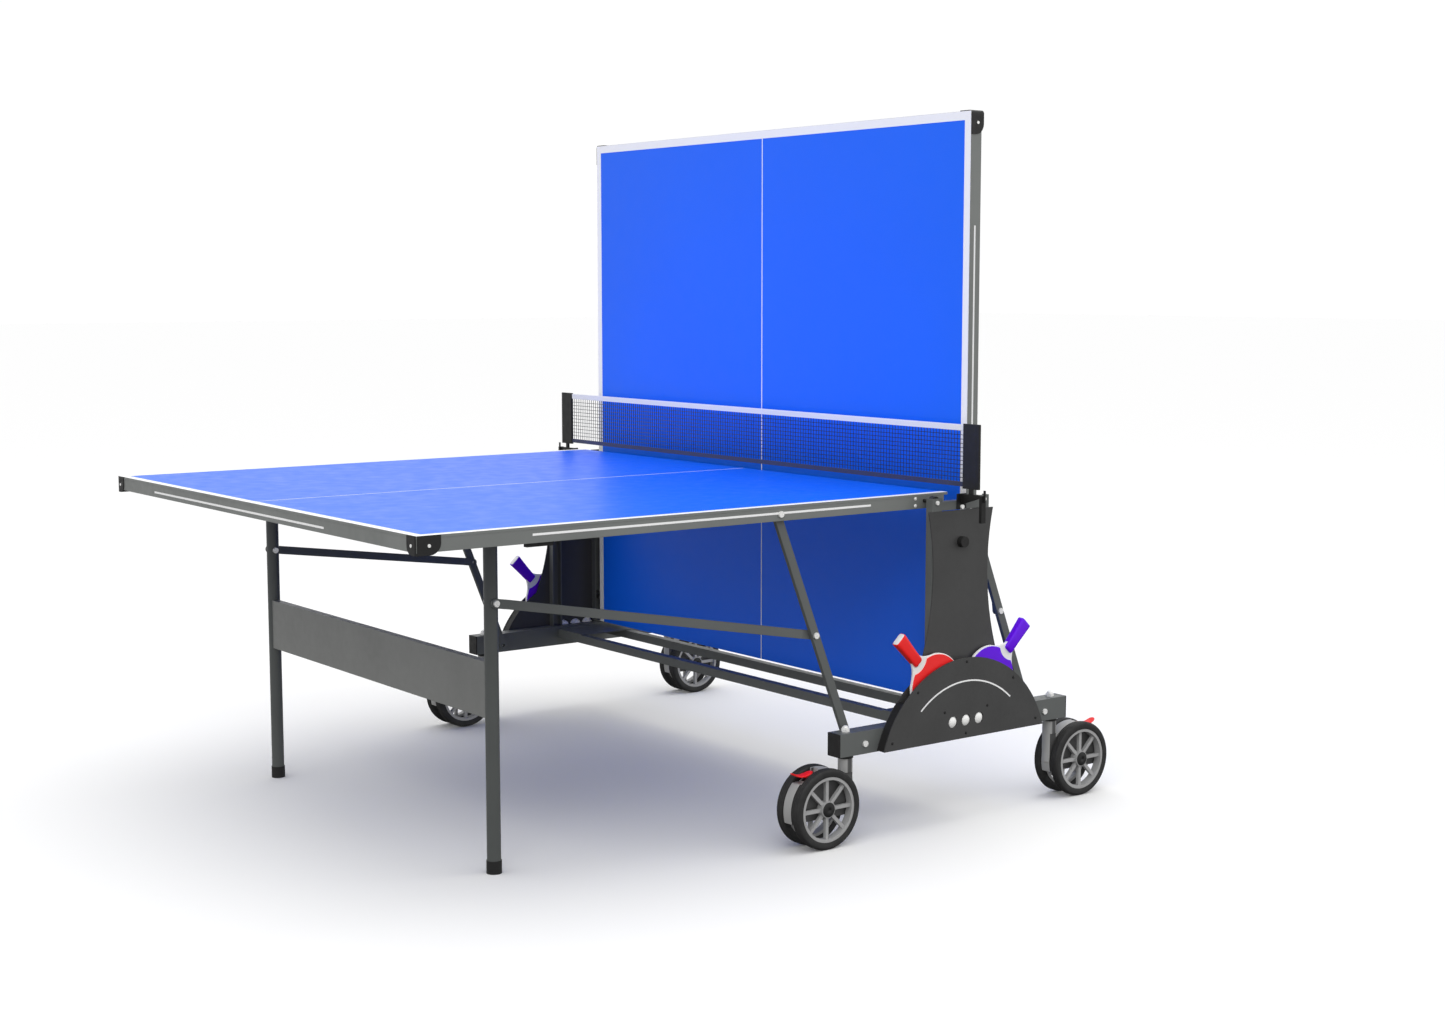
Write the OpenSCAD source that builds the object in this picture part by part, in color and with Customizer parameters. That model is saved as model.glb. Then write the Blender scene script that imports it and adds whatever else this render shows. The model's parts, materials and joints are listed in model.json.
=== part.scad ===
// Folding table tennis table on a wheeled chassis, with one half level and the other half stood up.
// Row frame: +X along the table towards the stood-up half, +Y across it, +Z up, floor at Z = 0.
// Each half is drawn in a half frame: u runs outward from the net, y across, z up, in playing position.

/* [Playing top] */
// Length of one half of the top
half_length = 1370; // [1100:5:1650]
// Width of the top
top_width = 1525; // [1250:5:1850]
// Height of the playing face above the floor
top_height = 760; // [720:5:820]
// Thickness of the playing board
board_t = 6; // [4:1:10]
// Distance from the net plane to the inner edge of a half
net_gap = 1.5; // [1.5:0.5:6]
// Height of the apron profile below the board
apron_h = 27; // [24:1:40]
// Width of the apron profile, its flanges included
apron_w = 11; // [8:1:16]
// Wall of the apron profile
apron_t = 3; // [2:0.5:4]
// Width of a stiffener under the board
stiffener_w = 40; // [25:1:60]
// Depth of a stiffener
stiffener_h = 25; // [15:1:30]
// Length of a corner cap along the long apron
cap_length = 54; // [40:1:80]
// Length of a corner cap along the end apron
cap_width = 38; // [30:1:60]
// How far a corner cap stands proud of the aprons
cap_proud = 2; // [1:0.5:4]
// How far a corner cap hangs below the aprons
cap_drop = 5.5; // [3:0.5:12]

/* [Folding gear] */
// Distance from the net plane to the guide tracks
track_u = 73.5; // [70:0.5:100]
// Depth of the roller pivots below the playing face
roller_depth = 15.5; // [15.5:0.5:18]
// Depth of the strut and leg pivots below the playing face
pivot_depth = 18.5; // [18:0.5:22]
// Distance along the top from the raised strut pivot line to the lowered one
strut_reach = 414; // [340:1:500]
// Height of the strut bolts on the rails
strut_foot_z = 219; // [210:1:230]
// Distance from a strut's foot to its link bolt
link_bolt_reach = 264; // [240:1:290]
// Width of a strut, seen from the side
strut_w = 20; // [16:1:30]
// Thickness of a strut
strut_t = 10; // [6:1:12]
// Width of a link bar
link_w = 20; // [16:1:26]
// Thickness of a link bar
link_t = 5; // [3:0.5:8]
// Radius of the pivot bolts
pivot_r = 4; // [3:0.5:5]
// Radial clearance of a turning fit
turn_fit = 0.06; // [0.02:0.01:0.1]
// Side clearance between pieces that turn against each other
side_gap = 1.5; // [0.5:0.5:3]

/* [Legs] */
// Distance from the net plane to the leg tubes
leg_u = 1073; // [1000:1:1250]
// Distance from the middle of the table to each leg tube
leg_y = 528; // [450:1:600]
// Radius of a leg tube
leg_r = 15; // [12:0.5:19]
// Radius of the cross tube that the legs turn on
cross_r = 10; // [8:0.5:11]
// Height of a foot
foot_h = 28; // [20:1:40]
// Wall of a foot
foot_wall = 1.5; // [1:0.5:4]
// Height of the leg panel's lower edge
panel_z = 331; // [250:1:400]
// Height of the leg panel
panel_h = 120; // [80:1:160]
// Thickness of the leg panel's sheet
panel_t = 2; // [1:0.5:4]

/* [Chassis] */
// Half of the length of the side rails
rail_half = 355; // [350:1:420]
// Height of the rails' underside
rail_z = 196; // [190:1:215]
// Height of the rail section
rail_h = 52; // [45:1:60]
// Width of the rail section
rail_w = 40; // [38:1:50]
// Wall of the rail section
rail_t = 2.5; // [1.5:0.5:4]
// Gap between a half and the rails beside it
rail_gap = 3.5; // [3:0.5:8]
// Distance from the net plane to each cross bar
bar_u = 75; // [60:1:100]
// Side of a cross bar's square section
bar_w = 22; // [16:1:25]
// Width of a guide track section
track_w = 30; // [28:1:36]
// Depth of a guide track section
track_d = 20; // [18:1:24]
// Wall of a guide track section
track_t = 2.5; // [2:0.5:3]
// Height of a track above the raised rollers' pivots
track_over = 8; // [7:1:12]
// Thickness of the side sheets
sheet_t = 2; // [1.5:0.5:3]
// Half width of a side sheet at its top
sheet_top = 100.5; // [95:0.5:120]
// Radius of the hollow sides of a side sheet
sheet_r = 620; // [560:10:800]
// Height of the narrowest place of a side sheet
waist_z = 585; // [560:5:600]

/* [Racket and ball holder] */
// Half width of the holder at its base
holder_half = 250; // [240:1:270]
// Height of the holder's arch
holder_top = 385; // [375:1:400]
// Free width of the pocket between the sheets
pocket_w = 22; // [22:0.5:30]
// Thickness of the holder's outer panel
holder_t = 3; // [2:0.5:5]
// Radius of a ball
ball_r = 20; // [20:0.5:20]
// Distance between neighbouring balls
ball_pitch = 41; // [40.5:0.5:44]
// Height of the balls' centres
ball_z = 240; // [235:1:245]
// Radius of the holes that show the balls
ball_hole_r = 13.5; // [10:0.5:16]
// Radius of a racket blade
blade_r = 76; // [70:0.5:78]
// Thickness of a racket blade with its rubbers
blade_t = 10; // [8:0.5:12]
// Distance from the net plane to a blade's centre
racket_x = 84.5; // [82:0.5:90]
// Height of a blade's centre
racket_z = 327; // [325:0.5:335]
// Slope of a racket's handle above the level
racket_slope = 46.5; // [40:0.5:55]
// Length from a blade's centre to the end of the handle
handle_reach = 165; // [150:1:190]
// Thickness of a handle
handle_t = 20; // [18:0.5:21]

/* [Net] */
// Height of the net's top above the playing face
net_top = 157; // [152.5:0.5:160]
// Height of the net's lower edge above the playing face
net_low = 16; // [5:1:20]
// Overhang of the net past the side of the top
net_over = 51; // [48:0.5:60]
// Thickness of the net's solid
net_t = 3; // [2:0.5:4]
// Width of a net post
post_w = 51; // [35:1:60]
// Thickness of a net post
post_t = 6; // [4:0.5:10]

/* [Casters] */
// Wheel radius
wheel_r = 90; // [75:1:92]
// Distance between the middles of the twin wheels
twin_pitch = 53.5; // [50:0.5:60]
// Width of a tyre
tyre_w = 22; // [18:1:24]
// Radial thickness of a tyre
tyre_t = 17; // [10:1:22]
// Distance from the net plane to a swivel axis
swivel_u = 323; // [315:1:330]
// Trail of the wheels behind the swivel axis
trail = 77; // [60:1:80]
// Radius of a fork's stem
stem_r = 16.5; // [14:0.5:19]
// Radius of a kingpin
kingpin_r = 6; // [5:0.5:7]
// Thickness of a swivel collar
collar_t = 6; // [4:0.5:8]
// Gap between neighbouring turning parts of a caster
caster_gap = 1; // [0.5:0.25:2]
// Number of spokes in a wheel
spokes = 8; // [5:1:10]

/* [Hidden] */
$fn = 64;

// Colours
steel_grey = [0.42, 0.44, 0.43];
dark_grey = [0.28, 0.28, 0.28];
plastic_black = [0.1, 0.1, 0.1];
caster_grey = [0.56, 0.56, 0.56];
zinc = [0.86, 0.86, 0.85];
board_blue = [0.14, 0.43, 0.98];
red = [1, 0.2, 0.2];
purple = [0.39, 0, 0.88];

// Wall of the plain tubes
tube_t = 1.5;

// Hairline left between welded pieces, so that each stays a simple solid
seam = 0.05;

// Places of the halves
half_w = top_width / 2;
outer_u = net_gap + half_length;
under_board = top_height - board_t;
apron_z = under_board - apron_h;
apron_start = 12;
inner_start = 14;
strut_out = half_w - apron_w - 0.5;
strut_in = strut_out - strut_t;
stiffener_y = strut_in - 2;
stiffener_z = under_board - stiffener_h;
roller_z = top_height - roller_depth;
pivot_z = top_height - pivot_depth;

// A point (u, z) of a half in playing position, carried to the stood-up position
face_u = track_u - roller_depth;
raised_u = face_u + pivot_depth;
strut_u = raised_u + strut_reach;
low_z = pivot_z + net_gap - strut_u;
function raised(u, z) = [face_u + top_height - z, low_z + u - net_gap];

// Struts: a foot on the rail lies midway between the two places of the pivot above it
foot_u = (raised_u + strut_u) / 2;
stiffener_places = [strut_u - 130, strut_u + 230];
strut_lean = atan2(strut_reach / 2, pivot_z - strut_foot_z);
strut_low = [strut_u, pivot_z];
strut_high = raised(strut_u, pivot_z);
strut_foot = [foot_u, strut_foot_z];

// Links: the bolt on the leg is placed so that one bar length fits both positions
link_du = link_bolt_reach * sin(strut_lean);
link_dz = link_bolt_reach * cos(strut_lean);
link_low = [foot_u + link_du, strut_foot_z + link_dz];
link_high = [foot_u - link_du, strut_foot_z + link_dz];
leg_high = raised(leg_u, pivot_z);
reach_high = norm(leg_high - link_high);
link_run = leg_u - link_low.x;
link_rise = pivot_z - link_low.y;
leg_bolt_drop = (reach_high ^ 2 - link_run ^ 2 - link_rise ^ 2) / (2 * (reach_high - link_rise));
leg_tilt = atan2(link_high.x - leg_high.x, leg_high.y - link_high.y);
leg_bolt_low = [leg_u, pivot_z - leg_bolt_drop];
leg_bolt_high = leg_high + leg_bolt_drop * [sin(leg_tilt), -cos(leg_tilt)];
link_leg_y = leg_y + leg_r + side_gap;
link_strut_y = strut_in - side_gap - link_t;
tab = 30;
cross_end = half_w - apron_w - 0.5;

// Chassis
rail_in = half_w + rail_gap;
rail_out = rail_in + rail_w;
rail_top = rail_z + rail_h;
track_in = rail_out - track_d;
track_top = roller_z + track_over;
roller_r = track_w / 2 - track_t - 0.3;
beam_h = 20;
beam_z = top_height - 36;
bar_top = rail_top - 8;
plate_depth = 126;
plate_t = 3;
bolt_head_r = 7;
bolt_head_t = 4;
small_head_r = 5;
screw_r = 3.5;
screw_t = 1;

// Side sheets and holder
sheet_out = rail_out + sheet_t;
pocket_out = sheet_out + pocket_w;
holder_out = pocket_out + holder_t;
holder_low = rail_z + 2.5;
spacer_w = 8;
sheet_top_z = beam_z - 1;
waist_half = sheet_top - sheet_r + sqrt(sheet_r ^ 2 - (sheet_top_z - waist_z) ^ 2);
holder_base = min(holder_half, foot_u - 2 * bolt_head_r - spacer_w);
arch_z = (holder_top + holder_low - holder_base ^ 2 / (holder_top - holder_low)) / 2;
arch_r = holder_top - arch_z;
knob_z = sheet_top_z - 73;
knob_r = 12.5;
knob_t = 14;
spacer_top = 300;
ball_fit = 0.4;
ball_y = pocket_out - sqrt(ball_r ^ 2 - ball_hole_r ^ 2) - ball_fit / 2;
racket_y = sheet_out + pocket_w / 2;

// Net
bracket_t = 3;
post_y = half_w + net_over;
post_out = post_y + post_w;
arm_out = post_out + 7;
clamp_out = arm_out + 8;
post_low = top_height + 12;

// Casters
swivel_y = rail_in + rail_w / 2 - 1;
fork_top = rail_z - collar_t - caster_gap;
fork_half = (twin_pitch - tyre_w) / 2 - 2.75;
fork_r = wheel_r - 2;
pad_room = 12;
stem_low = wheel_r + sqrt(wheel_r ^ 2 - (trail - stem_r) ^ 2) + 2;
kingpin_low = wheel_r + 50;
axle_r = 6;
hub_r = 18.5;
rim_r = wheel_r - tyre_t;
pedal_u = trail + 18;
pedal_z = wheel_r + fork_r - 26;
pedal_pin_r = 3;
pedal_half = fork_half - 4;

// Shift from the net plane to the middle of the whole object
caster_end = swivel_u + trail + wheel_r;
net_x = (outer_u + cap_proud + screw_t - caster_end) / 2;

// Placing
module at_net() {
    translate([net_x, 0, 0]) children();
}

module both_sides() {
    for (s = [0, 1]) mirror([0, s, 0]) children();
}

module both_ends() {
    for (s = [0, 1]) mirror([s, 0, 0]) children();
}

// Children drawn with u outward, put on the playing end or on the back end
module on_end(back) {
    at_net() mirror([back ? 0 : 1, 0, 0]) children();
}

// Children drawn on a half in playing position, put on the playing half or stood up on the back half
module on_half(back) {
    on_end(back)
        if (back) {
            translate([raised(0, 0).x, 0, raised(0, 0).y]) rotate([0, -90, 0]) children();
        } else {
            children();
        }
}

// Children drawn around the leg pivot with the legs hanging down
module on_legs(back) {
    place = back ? leg_high : [leg_u, pivot_z];
    on_end(back) translate([place.x, 0, place.y]) rotate([0, back ? -leg_tilt : 0, 0]) children();
}

// Box from its lowest to its highest corner
module block(low, high) {
    translate(low) cube(high - low);
}

// Square tube across the table, open at both ends
module cross_tube(low, high, wall) {
    skin = [wall, -1, wall];
    difference() {
        block(low, high);
        block(low + skin, high - skin);
    }
}

// Round bar across the table, from y0 to y1 at (u, z)
module cross_bar_round(u, z, r, y0, y1) {
    translate([u, y1, z]) rotate([90, 0, 0]) cylinder(h = y1 - y0, r = r);
}

// Flat panel drawn as a side view (u, z) and thickened from y0 to y1
module side_panel(y0, y1) {
    translate([0, y1, 0]) rotate([90, 0, 0]) linear_extrude(y1 - y0) children();
}

// Square with one corner, at the origin, rounded by a large radius
module rounded_corner(w, h, r) {
    translate([r, 0]) square([w - r, h]);
    translate([0, r]) square([w, h - r]);
    translate([r, r]) circle(r);
}

// Halves of the top
module board(back) {
    color(board_blue) on_half(back)
        block([net_gap, -half_w, under_board], [outer_u, half_w, top_height]);
}

// Section of an apron: a web outside and two flanges that point inward
module apron_section() {
    difference() {
        translate([-apron_w, 0]) square([apron_w, apron_h]);
        translate([-apron_w - 1, apron_t]) square([apron_w - apron_t + 1, apron_h - 2 * apron_t]);
    }
}

module frame(back) {
    long_end = outer_u - apron_w - seam;
    color(steel_grey) on_half(back) {
        both_sides()
            difference() {
                translate([apron_start, half_w, apron_z]) rotate([90, 0, 90])
                    linear_extrude(long_end - apron_start) apron_section();
                cross_bar_round(track_u, roller_z, pivot_r + turn_fit, half_w - 5, half_w + 1);
                cross_bar_round(strut_u, pivot_z, pivot_r, half_w - 5, half_w + 1);
            }
        translate([outer_u, half_w, apron_z]) rotate([90, 0, 0]) linear_extrude(top_width) apron_section();
        cross_tube([inner_start, -stiffener_y, stiffener_z],
            [inner_start + stiffener_h, stiffener_y, under_board], tube_t);
        for (u = stiffener_places)
            cross_tube([u - stiffener_w / 2, -stiffener_y, stiffener_z],
                [u + stiffener_w / 2, stiffener_y, under_board], tube_t);
    }
}

module corner_caps(back) {
    low = apron_z - cap_drop;
    color(plastic_black) on_half(back) both_sides()
        difference() {
            intersection() {
                translate([outer_u + cap_proud - cap_length, 0, low]) side_panel(0, half_w + cap_proud)
                    rounded_corner(cap_length, top_height - low, 24);
                translate([0, half_w + cap_proud - cap_width, low]) rotate([90, 0, 90])
                    linear_extrude(outer_u + cap_proud) rounded_corner(cap_width, top_height - low, 18);
                translate([outer_u + cap_proud, half_w + cap_proud, 0]) rotate(180)
                    linear_extrude(top_height) rounded_corner(cap_length, cap_width, 8);
            }
            block([0, 0, apron_z], [outer_u, half_w, top_height + 1]);
        }
}

module pivot_bolts(back) {
    screw_z = apron_z + 13;
    color(zinc) on_half(back) both_sides() {
        cross_bar_round(strut_u, pivot_z, bolt_head_r, half_w, half_w + bolt_head_t);
        cross_bar_round(strut_u, pivot_z, pivot_r, strut_in - 1, half_w);
        cross_bar_round(outer_u - 26, screw_z, screw_r, half_w + cap_proud, half_w + cap_proud + screw_t);
        translate([outer_u + cap_proud, half_w - 18, screw_z]) rotate([0, 90, 0])
            cylinder(h = screw_t, r = screw_r);
    }
}

module leg_bushes(back) {
    start = leg_u - 14;
    end = leg_u + 48;
    high = under_board - 3;
    color(plastic_black) on_half(back) both_sides()
        difference() {
            union() {
                block([start, strut_in - 2, apron_z - 9], [end, half_w - apron_w, high]);
                block([start, half_w - apron_w, apron_z + apron_t], [end, half_w - apron_t, high]);
            }
            cross_bar_round(leg_u, pivot_z, cross_r + turn_fit, strut_in - 3, cross_end + 0.5);
        }
}

// Folding gear
module track_rollers(back) {
    web_in = half_w - apron_t;
    color(plastic_black) on_half(back) both_sides() {
        cross_bar_round(track_u, roller_z, 6, web_in - 2.5, web_in - 0.5);
        cross_bar_round(track_u, roller_z, pivot_r, web_in - 0.5, track_in + 2);
        cross_bar_round(track_u, roller_z, roller_r, track_in + 2, rail_out - track_t - 2);
    }
}

// Outline of a bar of half width r with rounded ends, from the origin to (length, 0)
function bar_outline(length, r) = concat(
    [for (a = [90:15:270]) r * [cos(a), sin(a)]],
    [for (a = [-90:15:90]) [length, 0] + r * [cos(a), sin(a)]]);

// Flat bar from point a to point b of the side view
module flat_bar(a, b, w, y0, y1) {
    run = b - a;
    translate([a.x, 0, a.y]) rotate([0, -atan2(run.y, run.x), 0])
        side_panel(y0, y1) polygon(bar_outline(norm(run), w / 2));
}

module struts(back) {
    top = back ? strut_high : strut_low;
    link_bolt = back ? link_high : link_low;
    color(steel_grey) on_end(back) both_sides()
        difference() {
            flat_bar(strut_foot, top, strut_w, strut_in, strut_out);
            for (p = [strut_foot, top])
                cross_bar_round(p.x, p.y, pivot_r + turn_fit, strut_in - 1, strut_out + 1);
            cross_bar_round(link_bolt.x, link_bolt.y, pivot_r, strut_in - 1, strut_out + 1);
        }
}

module strut_bolts(back) {
    at = back ? link_high : link_low;
    color(zinc) on_end(back) both_sides() {
        cross_bar_round(at.x, at.y, bolt_head_r, strut_out, strut_out + bolt_head_t);
        cross_bar_round(at.x, at.y, pivot_r, strut_in - 0.5, strut_out);
    }
}

// Legs
module leg_tube() {
    inside = leg_y - leg_r - 1;
    outside = leg_y + leg_r + 1;
    difference() {
        translate([0, leg_y, foot_wall - pivot_z]) cylinder(h = pivot_z - foot_wall, r = leg_r);
        translate([0, leg_y, foot_wall - pivot_z - 1]) cylinder(h = pivot_z, r = leg_r - tube_t);
        cross_bar_round(0, 0, cross_r + seam, 0, cross_end);
        cross_bar_round(0, -leg_bolt_drop, pivot_r, inside, outside);
        rotate([0, leg_tilt, 0])
            block([-2 * leg_r, inside, -4 * leg_r], [pivot_z - under_board + 1, outside, leg_r]);
    }
}

module legs(back) {
    color(steel_grey) on_legs(back) {
        difference() {
            cross_bar_round(0, 0, cross_r, -cross_end, cross_end);
            cross_bar_round(0, 0, cross_r - tube_t, -cross_end - 1, cross_end + 1);
        }
        both_sides() leg_tube();
    }
}

module leg_panel(back) {
    front = 8;
    back_edge = -8;
    low = panel_z - pivot_z;
    color(dark_grey) on_legs(back)
        difference() {
            union() {
                block([front, -leg_y, low], [front + panel_t, leg_y, low + panel_h]);
                for (z = [low, low + panel_h - panel_t])
                    block([back_edge, -leg_y, z], [front, leg_y, z + panel_t]);
            }
            both_sides() translate([0, leg_y, low - 1]) cylinder(h = panel_h + 2, r = leg_r);
        }
}

module feet(back) {
    color(plastic_black) on_legs(back) both_sides()
        translate([0, leg_y, -pivot_z])
            difference() {
                cylinder(h = foot_h, r = leg_r + foot_wall);
                translate([0, 0, foot_wall]) cylinder(h = foot_h, r = leg_r);
            }
}

module leg_bolts(back) {
    out = link_leg_y + link_t + 0.5;
    color(zinc) on_legs(back) both_sides() {
        cross_bar_round(0, -leg_bolt_drop, bolt_head_r, out, out + bolt_head_t);
        cross_bar_round(0, -leg_bolt_drop, pivot_r, leg_y - leg_r, out);
        cross_bar_round(0, -leg_bolt_drop, bolt_head_r, leg_y - leg_r - bolt_head_t, leg_y - leg_r);
    }
}

// Link bar: two flat tabs and an oblique middle, from a leg bolt to a strut bolt
module links(back) {
    a = back ? leg_bolt_high : leg_bolt_low;
    b = back ? link_high : link_low;
    run = b - a;
    end = norm(run) + link_w;
    inner = [[-link_w, link_leg_y], [tab, link_leg_y], [end - link_w - tab, link_strut_y],
        [end, link_strut_y]];
    outer = [for (i = [3:-1:0]) inner[i] + [0, link_t]];
    color(steel_grey) on_end(back) both_sides()
        difference() {
            intersection() {
                flat_bar(a, b, link_w, link_leg_y - 1, link_strut_y + link_t + 1);
                translate([a.x, 0, a.y]) rotate([0, -atan2(run.y, run.x), 0])
                    translate([0, 0, -link_w]) linear_extrude(2 * link_w) polygon(concat(inner, outer));
            }
            for (p = [a, b])
                cross_bar_round(p.x, p.y, pivot_r + turn_fit, link_leg_y - 1, link_strut_y + link_t + 1);
        }
}

// Chassis
module ball_places() {
    for (i = [-1, 0, 1]) translate([i * ball_pitch, 0, ball_z]) children();
}

module side_rails() {
    color(steel_grey) at_net() both_sides()
        difference() {
            block([-rail_half, rail_in, rail_z], [rail_half, rail_out, rail_top]);
            block([-rail_half - 1, rail_in + rail_t, rail_z + rail_t],
                [rail_half + 1, rail_out - rail_t, rail_top - rail_t]);
            ball_places() cross_bar_round(0, 0, ball_r + ball_fit, ball_y - ball_r - ball_fit, rail_out + 1);
            both_ends() {
                cross_bar_round(foot_u, strut_foot_z, pivot_r, rail_in - 1, rail_out + 1);
                translate([swivel_u, swivel_y, rail_z - 1]) cylinder(h = rail_h + 2, r = kingpin_r);
            }
        }
}

module rail_end_caps() {
    color(plastic_black) at_net() both_sides() both_ends() {
        block([rail_half, rail_in, rail_z], [rail_half + 3, rail_out, rail_top]);
        block([rail_half - 12, rail_in + rail_t, rail_z + rail_t],
            [rail_half, rail_out - rail_t, rail_top - rail_t]);
    }
}

module cross_bars() {
    color(steel_grey) at_net() both_ends()
        difference() {
            block([bar_u - bar_w / 2, -rail_in, bar_top - bar_w], [bar_u + bar_w / 2, rail_in, bar_top]);
            block([bar_u - bar_w / 2 + 2, -rail_in - 1, bar_top - bar_w + 2],
                [bar_u + bar_w / 2 - 2, rail_in + 1, bar_top - 2]);
        }
}

module chassis_plates() {
    reach = bar_u + bar_w / 2;
    color(steel_grey) at_net() both_sides()
        block([-reach, rail_in - plate_depth, bar_top], [reach, rail_in, bar_top + plate_t]);
}

module guide_tracks() {
    side = track_w / 2;
    beam_half = track_u - side - seam;
    color(steel_grey) at_net() both_sides() {
        both_ends()
            difference() {
                block([track_u - side, track_in, rail_top], [track_u + side, rail_out, track_top]);
                block([track_u - side + track_t, track_in - 1, rail_top - 1],
                    [track_u + side - track_t, rail_out - track_t, track_top + 1]);
            }
        difference() {
            block([-beam_half, track_in, beam_z], [beam_half, rail_out, beam_z + beam_h]);
            block([-beam_half - 1, track_in + tube_t, beam_z + tube_t],
                [beam_half + 1, rail_out - tube_t, beam_z + beam_h - tube_t]);
        }
    }
}

// Arch of the holder, cut level at its base
module arch_outline(r) {
    intersection() {
        translate([0, arch_z]) circle(r, $fn = 120);
        translate([-holder_base, holder_low]) square([2 * holder_base, holder_top]);
    }
}

module side_sheets() {
    color(dark_grey) at_net() both_sides()
        difference() {
            side_panel(rail_out, sheet_out) {
                arch_outline(arch_r - 1);
                difference() {
                    translate([-150, holder_top - 45]) square([300, sheet_top_z - holder_top + 45]);
                    for (s = [-1, 1])
                        translate([s * (waist_half + sheet_r), waist_z]) circle(sheet_r, $fn = 180);
                }
            }
            ball_places() cross_bar_round(0, 0, ball_r + ball_fit, rail_out - 1, sheet_out + 1);
        }
}

module holder_panels() {
    color(dark_grey) at_net() both_sides()
        difference() {
            side_panel(pocket_out, holder_out) arch_outline(arch_r);
            ball_places() cross_bar_round(0, 0, ball_hole_r, pocket_out - 1, holder_out + 1);
        }
}

module holder_spacers() {
    color(plastic_black) at_net() both_sides() {
        both_ends()
            intersection() {
                side_panel(sheet_out, pocket_out)
                    difference() {
                        translate([0, arch_z]) circle(arch_r - 1);
                        translate([0, arch_z]) circle(arch_r - 1 - spacer_w);
                    }
                block([holder_base / 2, sheet_out, holder_low], [holder_base, pocket_out, spacer_top]);
            }
        for (s = [-1, 1], a = [0, 28])
            translate([s * racket_x, 0, racket_z]) rotate([0, -s * a, 0])
                cross_bar_round(0, -blade_r - screw_r - 0.5, screw_r, sheet_out, pocket_out);
        cross_bar_round(0, knob_z, knob_r, sheet_out, sheet_out + knob_t);
    }
}

module balls() {
    color("white") at_net() both_sides() ball_places() translate([0, ball_y, 0]) sphere(ball_r);
}

module chassis_bolts() {
    face = rail_out + bracket_t;
    color(zinc) at_net() both_sides() {
        both_ends() {
            cross_bar_round(foot_u, strut_foot_z, bolt_head_r, rail_out, rail_out + bolt_head_t);
            cross_bar_round(foot_u, strut_foot_z, pivot_r, strut_out + side_gap, rail_out);
            cross_bar_round(track_u, roller_z - 2, small_head_r, rail_out, rail_out + 3);
            translate([swivel_u, swivel_y, 0]) {
                translate([0, 0, kingpin_low]) cylinder(h = rail_top - kingpin_low, r = kingpin_r);
                translate([0, 0, rail_top]) cylinder(h = 7, r = 10, $fn = 6);
                translate([0, 0, rail_top + 7]) cylinder(h = 3, r = 7.5);
                intersection() {
                    translate([0, 0, rail_top + 7]) sphere(7.5);
                    translate([0, 0, rail_top + 15]) cube(16, center = true);
                }
            }
        }
        cross_bar_round(0, beam_z + 6, small_head_r, face, face + bolt_head_t);
    }
}

module swivel_collars() {
    color(plastic_black) at_net() both_sides() both_ends()
        translate([swivel_u, swivel_y, rail_z - collar_t])
            difference() {
                cylinder(h = collar_t, r = stem_r + 1.5);
                translate([0, 0, -1]) cylinder(h = collar_t + 2, r = kingpin_r);
            }
}

// Net
module net_brackets() {
    flange_out = rail_out + bracket_t;
    color(plastic_black) at_net() both_sides() {
        block([-14, rail_out, beam_z + 0.5], [14, flange_out, top_height]);
        translate([-2, 0, 0]) rotate([90, 0, 90]) linear_extrude(4)
            polygon([[flange_out, top_height - 25], [arm_out, top_height - 6], [arm_out, top_height],
                [flange_out, top_height]]);
        block([-6.5, arm_out, top_height - 62], [6.5, clamp_out, top_height]);
        block([-1.5, clamp_out, top_height - 15], [1.5, clamp_out + 5, top_height + 12]);
    }
}

module net_posts() {
    stalk = 10;
    middle = post_y + post_w / 2;
    color(plastic_black) at_net() both_sides() {
        block([-post_t / 2, post_y, post_low], [post_t / 2, post_out, top_height + net_top + 2]);
        block([-post_t / 2, middle - stalk / 2, top_height], [post_t / 2, middle + stalk / 2, post_low]);
    }
}

module net() {
    side = post_y - 0.5;
    color(plastic_black) at_net()
        block([-net_t / 2, -side, top_height + net_low], [net_t / 2, side, top_height + net_top]);
}

// Rackets: blade, neck and handle, drawn upright about the blade's centre
module racket(x_side, y_side, shade) {
    handle_low = blade_r - 2;
    color(shade) at_net()
        translate([x_side * racket_x, y_side * racket_y, racket_z])
            rotate([0, x_side * (90 - racket_slope), 0]) {
                side_panel(-blade_t / 2, blade_t / 2) {
                    circle(blade_r);
                    polygon([[-45, 50], [45, 50], [14, handle_low + 10], [-14, handle_low + 10]]);
                }
                side_panel(-handle_t / 2, handle_t / 2)
                    polygon([[-13, handle_low + 2], [13, handle_low + 2], [17, handle_reach],
                        [-17, handle_reach]]);
            }
}

// Casters, drawn about the foot of the swivel axis with the wheels trailing along +X
module at_caster(x_side, y_side) {
    at_net() translate([x_side * swivel_u, y_side * swivel_y, 0])
        mirror([x_side < 0 ? 1 : 0, 0, 0]) children();
}

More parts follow.
